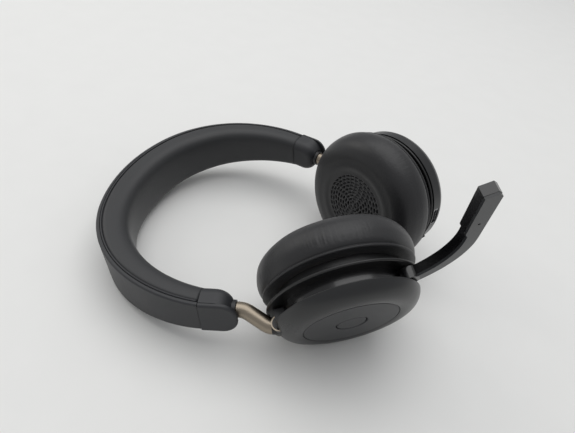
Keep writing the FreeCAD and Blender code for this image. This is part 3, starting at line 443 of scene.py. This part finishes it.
@dataclass
class Headband:
    """The arch: padding on the head's side, and the bead in each seam.

    Attributes:
        palette: the materials.
        arcs: radius in metres and angle in degrees, from the crown to a leg.
        straight: straight end of a leg, in metres.
        crown_half: half width at the crown.
        leg_half: half width at a leg's end.
        crown_thick: half thickness at the crown.
        leg_thick: half thickness at a leg's end.
        taper: power of the taper from crown to leg.
        strip_thick: thickness of the outer strip.
        cap: length of a leg that its end cap covers, with the gap before it.
        wall: thickness of the padding at its flanks.
        mount_reach: distance from the crown's centreline to the head mount.
        strip_gap: gap between the padding and the outer strip.
        overhang: how far the padding stands out past the strip's edge.
        floor: place of the padding's inner floor, outward from the centreline.
        section_steps: steps round the padding's skin.
        steps: steps along the padding.
        puff: height of the padding's slow waves.
        puffs_per_metre: scale of those waves.
        bead_radius: radius of the bead.
        bead_drop: distance of the bead's centre below the strip.
        bead_inset: distance of the bead's centre inside the strip's edge.
        bead_gap: gap between the bead's end and the padding's.
        bead_steps: steps along the bead.
        bead_sides: sides of the bead.
    """

    palette: Palette
    arcs: tuple = ((0.078, 20.0), (0.0543, 50.2), (0.0637, 35.6))
    straight: float = 0.008
    crown_half: float = 0.0129
    leg_half: float = 0.0070
    crown_thick: float = 0.0075
    leg_thick: float = 0.00525
    taper: float = 2.3
    strip_thick: float = 0.0017
    cap: float = 0.01495
    wall: float = 0.0024
    mount_reach: float = 0.008
    strip_gap: float = 0.00015
    overhang: float = 0.0002
    floor: float = -0.0022
    section_steps: int = 44
    steps: int = 190
    puff: float = 0.00035
    puffs_per_metre: float = 45.0
    bead_radius: float = 0.00042
    bead_drop: float = 0.0006
    bead_inset: float = 0.0001
    bead_gap: float = 0.0002
    bead_steps: int = 170
    bead_sides: int = 8

    def __post_init__(self) -> None:
        """Read the band's place from the head mount and the two sliders."""
        across = Vector(joint("slider_right")["axis"])
        other = Vector(joint("slider_left")["axis"])
        x, y = (across + other).normalized(), (across - other).normalized()
        middle = Vector(mount("head")["pos_m"]) - x * self.mount_reach
        self.place = Place(middle, x, y, x.cross(y))
        self.length = self.straight + sum(r * math.radians(a) for r, a in self.arcs)

    def spot(self, run: float) -> tuple[float, float, float]:
        """Find a point of the centreline.

        Args:
            run: distance from the crown, negative on the right side.

        Returns:
            x, y and the heading in radians, zero at the crown.
        """
        left, x, y, heading = abs(run), 0.0, 0.0, 0.0
        for radius, angle in self.arcs:
            turn = min(left / radius, math.radians(angle))
            x += radius * (math.cos(heading) - math.cos(heading + turn))
            y += radius * (math.sin(heading + turn) - math.sin(heading))
            heading += turn
            left -= radius * turn
            if left <= 1e-9:
                break
        x += math.sin(heading) * max(left, 0)
        y += math.cos(heading) * max(left, 0)
        return x, y, heading

    def point(self, run: float, out: float, side: float) -> Vector:
        """Return a point off the centreline: outward from the head, and sideways."""
        x, y, heading = self.spot(run)
        sign = -1 if run < 0 else 1
        x -= math.cos(heading) * out
        y += math.sin(heading) * out
        return self.place.at(x, sign * y, side)

    def half(self, run: float) -> tuple[float, float]:
        """Return the band's half width and half thickness at a distance from the crown."""
        share = (abs(run) / self.length) ** self.taper
        return (self.crown_half + (self.leg_half - self.crown_half) * share,
                self.crown_thick + (self.leg_thick - self.crown_thick) * share)

    def section(self, half: float, thick: float) -> list[tuple[float, float]]:
        """Outline the padding: rounded shoulders at the seam and a full crown.

        Args:
            half: half width of the strip here.
            thick: half thickness of the band here.

        Returns:
            Points (out, side) round the closed C-shaped section.
        """
        top = thick - self.strip_thick - self.strip_gap
        deep, wide = -thick, half + self.overhang
        outer = [(top, wide - self.wall), (top - 0.0001, wide - 0.0012),
                 (top - 0.0009, wide - 0.0007), (top - 0.0012, wide - 0.0001),
                 (top - 0.0018, wide), (-0.0005, wide + 0.0001), (deep * 0.5, wide * 0.97),
                 (deep * 0.88, wide * 0.78), (deep, wide * 0.45), (deep * 1.03, 0.0)]
        mirror = [(out, -side) for out, side in reversed(outer[:-1])]
        skin = resample(round_corner(outer + mirror, 2), self.section_steps)
        gap = wide - self.wall
        return skin + [(self.floor, -gap), (self.floor, gap)]

    def padding(self) -> None:
        """Sweep the padding along the arch in place of its CAD solid."""
        mesh = bmesh.new()
        reach = self.length - self.cap
        rows = []
        for k in range(self.steps + 1):
            run = -reach + 2 * reach * k / self.steps
            puff = self.puff * noise.noise(Vector((run * self.puffs_per_metre, 0.3, 0.7)))
            row = []
            for out, side in self.section(*self.half(run)):
                swell = 1 + puff / self.crown_thick if out < 0 else 1.0
                row.append(mesh.verts.new(self.point(run, out * swell, side)))
            rows.append(row)
        for first, second in zip(rows, rows[1:]):
            bridge(mesh, first, second)
        for row in (rows[0], rows[-1]):
            mesh.faces.new(row)
        made = piece_from("headband_padding", mesh, "headband")
        self.palette.dress(made, BAND_SKIN)
        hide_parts("band_cushion")

    def bead(self, sign: int) -> None:
        """Lay the thin bead that shows between two dark gaps in one seam.

        Args:
            sign: plus one for the upper seam, minus one for the lower.
        """
        mesh = bmesh.new()
        reach = self.length - self.cap - self.bead_gap
        drop = self.strip_thick + self.bead_drop
        turns = [2 * math.pi * j / self.bead_sides for j in range(self.bead_sides)]
        rows = []
        for k in range(self.bead_steps + 1):
            run = -reach + 2 * reach * k / self.bead_steps
            half, thick = self.half(run)
            edge = sign * (half - self.bead_inset)
            seam = thick - drop
            row = [mesh.verts.new(self.point(
                run, seam + self.bead_radius * math.cos(turn),
                edge + self.bead_radius * math.sin(turn))) for turn in turns]
            rows.append(row)
        for first, second in zip(rows, rows[1:]):
            bridge(mesh, first, second)
        for row in (rows[0], rows[-1]):
            mesh.faces.new(row)
        made = piece_from("seam_bead_upper" if sign > 0 else "seam_bead_lower", mesh,
                          "headband")
        self.palette.dress(made, STRIP)

    def build(self) -> None:
        """Make the padding and both beads."""
        self.padding()
        for sign in (-1, 1):
            self.bead(sign)


# ---------------------------------------------------------------- ear cups

class Side(Enum):
    """The two cups: the right one carries the boom."""

    RIGHT = "right"
    LEFT = "left"


# Radians; turns each ring of slots against the next.
GOLDEN_ANGLE = 2.399963
# The triangulation's mode that keeps only what lies inside the outlines, and its reach
# for merging points.
INSIDE_ONLY = 1
MERGE_WITHIN = 1e-7

# Creases come in clusters: middle angle and spread in radians, and strength.
CREASE_CLUSTERS = {Side.RIGHT: ((1.72, 0.42, 1.0), (4.4, 0.9, 0.5), (2.9, 0.4, 0.3)),
                   Side.LEFT: ((5.0, 0.5, 0.45), (1.9, 0.9, 0.5), (3.9, 0.5, 0.3))}
CREASE_SEED = {Side.RIGHT: 11, Side.LEFT: 23}
SWELL_SEED = {Side.RIGHT: 3.0, Side.LEFT: 7.0}
# Ranges that each crease is drawn from: radians to the next one, depth at full
# strength, half width in radians, and the heights where it begins and ends.
CREASE_STEP = (0.016, 0.046)
CREASE_DEPTH = (0.0001, 0.0003)
CREASE_HALF = (0.006, 0.0095)
CREASE_BEGIN = (-0.0205, -0.0165)
CREASE_END = (-0.0108, -0.0078)
# Strength of a crease that is far from every cluster.
CREASE_LEAST = 0.1


@dataclass(frozen=True)
class Slots:
    """The slots over the loudspeaker: rings of short arcs, staggered.

    Attributes:
        rings: number of rings.
        pitch: distance from ring to ring.
        step: distance from slot to slot along a ring.
        width: width of a slot.
        land: solid skin between two slots of a ring.
        depth: how deep the slots go.
        fewest: least number of slots in a ring.
        blunt: shares of the half length and half width at points of a long side.
    """

    rings: int = 9
    pitch: float = 0.00174
    step: float = 0.0030
    width: float = 0.00098
    land: float = 0.00072
    depth: float = 0.0013
    fewest: int = 6
    blunt: tuple = ((-1.0, 0.45), (-0.72, 0.95), (0.0, 1.0), (0.72, 0.95), (1.0, 0.45))

    def outlines(self) -> list[list[tuple[float, float]]]:
        """List each slot's outline, counter-clockwise, in the panel's plane."""
        made = []
        for ring in range(1, self.rings + 1):
            radius = ring * self.pitch
            count = max(self.fewest, round(2 * math.pi * radius / self.step))
            half = (2 * math.pi / count - self.land / radius) / 2
            phase = ring * GOLDEN_ANGLE
            for index in range(count):
                middle = 2 * math.pi * index / count + phase
                made.append(self.slot(radius, middle, half))
        return made

    def slot(self, radius: float, middle: float, half: float) -> list:
        """Outline one slot: an arc with blunt ends.

        Args:
            radius: the ring's radius.
            middle: angle of the slot's middle, in radians.
            half: half its length, in radians.

        Returns:
            The outline's points.
        """
        points = []
        for sign in (1, -1):
            for share, wide in self.blunt:
                angle = middle + sign * share * half
                distance = radius + sign * wide * self.width / 2
                points.append((distance * math.cos(angle), distance * math.sin(angle)))
        return points


@dataclass
class EarCushion:
    """The padded ring of one cup with its slotted middle.

    Heights are along the cup's axis from the baffle's outer face, negative towards the
    head.

    Attributes:
        palette: the materials.
        side: which cup.
        front: distance of the crown from that face.
        dish: radius of the flat middle.
        sink: how deep the middle lies under the crown.
        widest: largest radius.
        seam: radius at the sewn edge; not used.
        back: distance of the sewn edge from that face.
        hollow: radius of the room over the loudspeaker.
        inside: height of that room's far end.
        around: vertices round the cushion.
        skin_steps: steps from the middle to the welt.
        tilt_out: distance of the tilt axis from the cup's axis.
        tilt_up: height of the tilt axis.
        deepest: most that creases sink the skin together.
        swell: height of the foam's slow waves.
        swell_from: distance from the middle's edge over which they grow.
        swell_end: height at which they have died out.
        swell_fade: distance over which they die out.
    """

    palette: Palette
    side: Side
    front: float = 0.0238
    dish: float = 0.0165
    sink: float = 0.0003
    widest: float = 0.0349
    seam: float = 0.0328
    back: float = 0.0058
    hollow: float = 0.019
    inside: float = -0.014
    around: int = 480
    skin_steps: int = 56
    tilt_out: float = 0.0292
    tilt_up: float = 0.0062
    deepest: float = 0.0004
    swell: float = 0.0003
    swell_from: float = 0.004
    swell_end: float = -0.0085
    swell_fade: float = 0.003

    def __post_init__(self) -> None:
        """Read the cup's place from its tilt joint and its face."""
        name = self.side.value
        tilt = joint(f"tilt_{name}")
        z = Vector(mount(f"{name}_face")["axis"])
        y = -Vector(tilt["axis"])
        x = y.cross(z)
        origin = Vector(tilt["pos_m"]) + x * self.tilt_out - z * self.tilt_up
        self.place = Place(origin, x, y, z)
        self.creases = self.plan_creases()

    def outline(self) -> list[tuple[float, float]]:
        """Trace the skin from the slotted middle over the crown to the sewn edge."""
        flat, front = -self.front + self.sink, -self.front
        corners = [(self.dish, flat), (self.dish + 0.0016, flat),
                   (self.dish + 0.0036, flat - 0.0006), (self.dish + 0.0062, front),
                   (self.dish + 0.0095, front), (0.0305, front + 0.0016),
                   (0.0338, front + 0.0052), (self.widest, -0.0143),
                   (self.widest + 0.0001, -0.0118), (0.0345, -0.0088),
                   (0.0338, -0.0077)]
        skin = resample(round_corner(corners, 3), self.skin_steps)
        welt = [(0.0334, -0.0075), (0.0332, -0.0072), (0.0336, -0.0069),
                (0.0339, -0.0065), (0.0337, -0.0061), (0.0331, -0.0059),
                (0.0322, -self.back)]
        return skin + round_corner(welt, 1)

    def plan_creases(self) -> list[tuple[float, float, float, float, float]]:
        """Scatter fine creases round the flank, in clusters.

        Returns:
            Angle, depth, half width in radians, and the heights where each
            begins and ends.
        """
        draw = random.Random(CREASE_SEED[self.side])
        planned, angle = [], 0.0
        while angle < 2 * math.pi:
            angle += draw.uniform(*CREASE_STEP)
            power = CREASE_LEAST
            for middle, spread, share in CREASE_CLUSTERS[self.side]:
                away = (angle - middle + math.pi) % (2 * math.pi) - math.pi
                power = max(power, share * math.exp(-(away / spread) ** 2))
            depth = power * draw.uniform(*CREASE_DEPTH)
            planned.append((angle, depth, draw.uniform(*CREASE_HALF),
                            draw.uniform(*CREASE_BEGIN), draw.uniform(*CREASE_END)))
        return planned

    def crease(self, angle: float, height: float) -> float:
        """Return how far the skin sinks at an angle and a height."""
        sink = 0.0
        for middle, depth, half, begin, end in self.creases:
            if not begin < height < end:
                continue
            away = (angle - middle + math.pi) % (2 * math.pi) - math.pi
            if abs(away) > 3 * half:
                continue
            share = (height - begin) / (end - begin)
            # Full in its middle, and about four tenths as deep at both ends.
            fade = math.sin(math.pi * min(1.0, share * 0.75 + 0.12))
            sink += depth * fade * math.exp(-(away / half) ** 2)
        return min(sink, self.deepest)

    def panel(self, mesh: bmesh.types.BMesh, rim: list) -> None:
        """Fill the middle, with slots sunk through the skin.

        Args:
            mesh: the cushion's mesh.
            rim: the vertices round the panel's edge.
        """
        slots = Slots().outlines()
        points = [Vector((self.dish * math.cos(2 * math.pi * k / len(rim)),
                          self.dish * math.sin(2 * math.pi * k / len(rim))))
                  for k in range(len(rim))]
        faces = [list(range(len(rim)))]
        for outline in slots:
            start = len(points)
            points += [Vector(p) for p in outline]
            faces.append(list(range(start, start + len(outline))))
        spots, _, made, _, _, origin = delaunay_2d_cdt(points, [], faces, INSIDE_ONLY,
                                                       MERGE_WITHIN)
        flat = -self.front + self.sink
        top = list(rim) + [None] * (len(spots) - len(rim))
        for index, spot in enumerate(spots):
            if index >= len(rim):
                top[index] = mesh.verts.new(self.place.at(spot.x, spot.y, flat))
        floor = flat + Slots().depth
        for face, sources in zip(made, origin):
            if len(sources) == 1:
                mesh.faces.new([top[k] for k in face])
        for outline_face in faces[1:]:
            low = [mesh.verts.new(self.place.at(spots[k].x, spots[k].y, floor))
                   for k in outline_face]
            bridge(mesh, [top[k] for k in outline_face], low)
            mesh.faces.new(low).material_index = 1

    def build(self) -> None:
        """Make the cushion in place of its CAD solid."""
        mesh = bmesh.new()
        skin = self.outline()
        turns = [2 * math.pi * k / self.around for k in range(self.around)]
        rows = []
        for index, (radius, height) in enumerate(skin):
            before, after = skin[max(index - 1, 0)], skin[min(index + 1, len(skin) - 1)]
            run = Vector((after[0] - before[0], after[1] - before[1])).normalized()
            row = []
            for angle in turns:
                sink = self.crease(angle, height)
                soft = self.softness(angle, radius, height)
                row.append(mesh.verts.new(self.place.polar(
                    radius - (sink - soft) * run.y, angle,
                    height + (sink - soft) * run.x)))
            rows.append(row)
        for height in (-self.back, self.inside):
            rows.append([mesh.verts.new(self.place.polar(self.hollow, angle, height))
                         for angle in turns])
        for first, second in zip(rows, rows[1:]):
            bridge(mesh, first, second)
        mesh.faces.new(rows[-1])
        self.panel(mesh, rows[0])
        made = piece_from(f"ear_pad_{self.side.value}", mesh, f"cup_{self.side.value}")
        self.palette.dress(made, LEATHERETTE, CLOTH)
        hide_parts(f"ear_cushion_{self.side.value}")

    def softness(self, angle: float, radius: float, height: float) -> float:
        """Return the slow swell of the foam under the skin."""
        edge = min(1.0, max(0.0, (radius - self.dish) / self.swell_from))
        edge *= min(1.0, max(0.0, (self.swell_end - height) / self.swell_fade))
        seed = SWELL_SEED[self.side]
        spot = Vector((math.cos(angle) * 1.6, math.sin(angle) * 1.6, height * 90 + seed))
        return self.swell * edge * noise.noise(spot)


# ---------------------------------------------------------------- carried parts

@dataclass
class Hardware:
    """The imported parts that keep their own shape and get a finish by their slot.

    Attributes:
        palette: the materials.
        sleeve_reach: how far the black sleeve reaches from the tilt joint's point.
        sleeve_colour: the sleeve's colour, sRGB hex.
    """

    palette: Palette
    sleeve_reach: float = 0.0047
    sleeve_colour: str = "0d0d0e"

    def build(self) -> None:
        """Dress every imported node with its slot's finish."""
        finishes = {finish.slot: finish for finish in FINISHES}
        for row in frame["record"]["subparts"]:
            node = frame["nodes"][row["node"]]
            finish = finishes[row["material_slot"]]
            self.palette.dress(node, finish)
            LOG.info("%s: %s", row["node"], finish.name)
        for side in Side:
            self.coat_eye(side)

    def coat_eye(self, side: Side) -> None:
        """Give an arm its own bronze, with the black sleeve on its eye.

        Args:
            side: which arm.
        """
        coated = BRONZE.build()
        tree = coated.node_tree
        shader = tree.nodes["Principled BSDF"]
        colour = shader.inputs["Base Color"].links[0].from_socket
        place = add_node(tree, "ShaderNodeTexCoord").outputs["Object"]
        away = add_node(tree, "ShaderNodeVectorMath",
                        {"operation": "DISTANCE",
                         1: tuple(joint(f"tilt_{side.value}")["pos_m"])}, {0: place})
        bare = add_node(tree, "ShaderNodeMath",
                        {"operation": "GREATER_THAN", 1: self.sleeve_reach},
                        {0: away.outputs["Value"]})
        tint = add_node(tree, "ShaderNodeMix",
                        {"data_type": "RGBA", 6: linear(self.sleeve_colour)},
                        {0: bare.outputs["Value"], 7: colour})
        tree.links.new(tint.outputs[2], shader.inputs["Base Color"])
        tree.links.new(bare.outputs["Value"], shader.inputs["Metallic"])
        node = frame["nodes"][f"arm_{side.value}"]
        node.data.materials.clear()
        node.data.materials.append(coated)


# ---------------------------------------------------------------- studio

# Laminate of the table: pale and dull, with nearly no relief.
TABLE_TOP = Finish("laminate, matt white", "", "ebebe9", "e7e7e5", 0.7, 0.03,
                   grain=Grain.SMOOTH, grain_mm=30.0, relief_mm=0.005, ior=1.45)


@dataclass(frozen=True)
class Lamp:
    """A square soft light.

    Attributes:
        name: the light's name.
        spot: where it hangs.
        size: its width.
        power: its power in watts.
        colour: its colour, sRGB hex.
    """

    name: str
    spot: tuple
    size: float
    power: float
    colour: str


@dataclass
class Studio:
    """Pale table, broad soft lights and the camera.

    Attributes:
        eye: the camera's place.
        look: its viewing direction.
        up: its upward direction.
        focal: focal length in millimetres.
        sensor: width of the sensor in millimetres.
        lamps: the lights.
        aim: the point that the lights face.
        room_colour: colour of the room's light, sRGB hex.
        room_strength: its strength.
        table_size: size of the table's grid.
        table_cells: cells along each side of it.
        table_gap: gap between the table and the headset.
    """

    eye: tuple = (0.050105, -0.176504, 0.186814)
    look: tuple = (-0.174105, 0.735943, -0.654274)
    up: tuple = (-0.329065, 0.582847, 0.742971)
    focal: float = 29.907
    sensor: float = 36.0
    lamps: tuple = (Lamp("softbox_top", (-0.12, 0.26, 1.25), 1.5, 10.0, "ffffff"),
                    Lamp("window_left", (-1.2, 0.1, 0.7), 0.7, 2.4, "fffdf8"))
    aim: tuple = (0.0, 0.0, 0.02)
    room_colour: str = "f2f3f5"
    room_strength: float = 0.53
    table_size: float = 4.0
    table_cells: int = 8
    table_gap: float = 0.00005

    def camera(self) -> None:
        """Make the camera and set it as the scene's."""
        data = bpy.data.cameras.new("camera")
        data.sensor_fit = "HORIZONTAL"
        data.sensor_width = self.sensor
        data.lens = self.focal
        data.clip_start = 0.01
        data.clip_end = 20.0
        back = -Vector(self.look).normalized()
        right = Vector(self.up).cross(back).normalized()
        up = back.cross(right)
        view = Matrix((right, up, back)).transposed().to_4x4()
        view.translation = Vector(self.eye)
        made = bpy.data.objects.new("camera", data)
        made.matrix_world = view
        bpy.context.scene.collection.objects.link(made)
        bpy.context.scene.camera = made

    def table(self) -> None:
        """Lay a wide, pale and dull top under the headset."""
        low = CAD_BOX[0][2]
        mesh = bmesh.new()
        bmesh.ops.create_grid(mesh, x_segments=self.table_cells,
                              y_segments=self.table_cells, size=self.table_size,
                              matrix=Matrix.Translation((0, 0, low - self.table_gap)))
        data = bpy.data.meshes.new("table_top")
        mesh.to_mesh(data)
        mesh.free()
        made = bpy.data.objects.new("table_top", data)
        bpy.context.scene.collection.objects.link(made)
        data.materials.append(TABLE_TOP.build())

    def light(self, lamp: Lamp) -> None:
        """Hang one light, facing the headset."""
        data = bpy.data.lights.new(lamp.name, "AREA")
        data.shape = "SQUARE"
        data.size = lamp.size
        data.energy = lamp.power
        data.color = linear(lamp.colour)[:3]
        made = bpy.data.objects.new(lamp.name, data)
        made.location = Vector(lamp.spot)
        away = Vector(lamp.spot) - Vector(self.aim)
        made.rotation_euler = away.to_track_quat("Z", "Y").to_euler()
        bpy.context.scene.collection.objects.link(made)

    def build(self) -> None:
        """Make the table, the lights, the room's light and the camera."""
        self.camera()
        self.table()
        for lamp in self.lamps:
            self.light(lamp)
        room = bpy.data.worlds.new("room")
        room.use_nodes = True
        sky = room.node_tree.nodes["Background"]
        sky.inputs["Color"].default_value = linear(self.room_colour)
        sky.inputs["Strength"].default_value = self.room_strength
        bpy.context.scene.world = room
        bpy.context.scene.view_settings.view_transform = "Standard"


def main() -> None:
    """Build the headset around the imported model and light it."""
    logging.basicConfig(level=logging.INFO, format="%(message)s")
    palette = Palette()
    Studio().build()
    Hardware(palette).build()
    Headband(palette).build()
    for side in Side:
        EarCushion(palette, side).build()


if __name__ == "__main__":
    main()
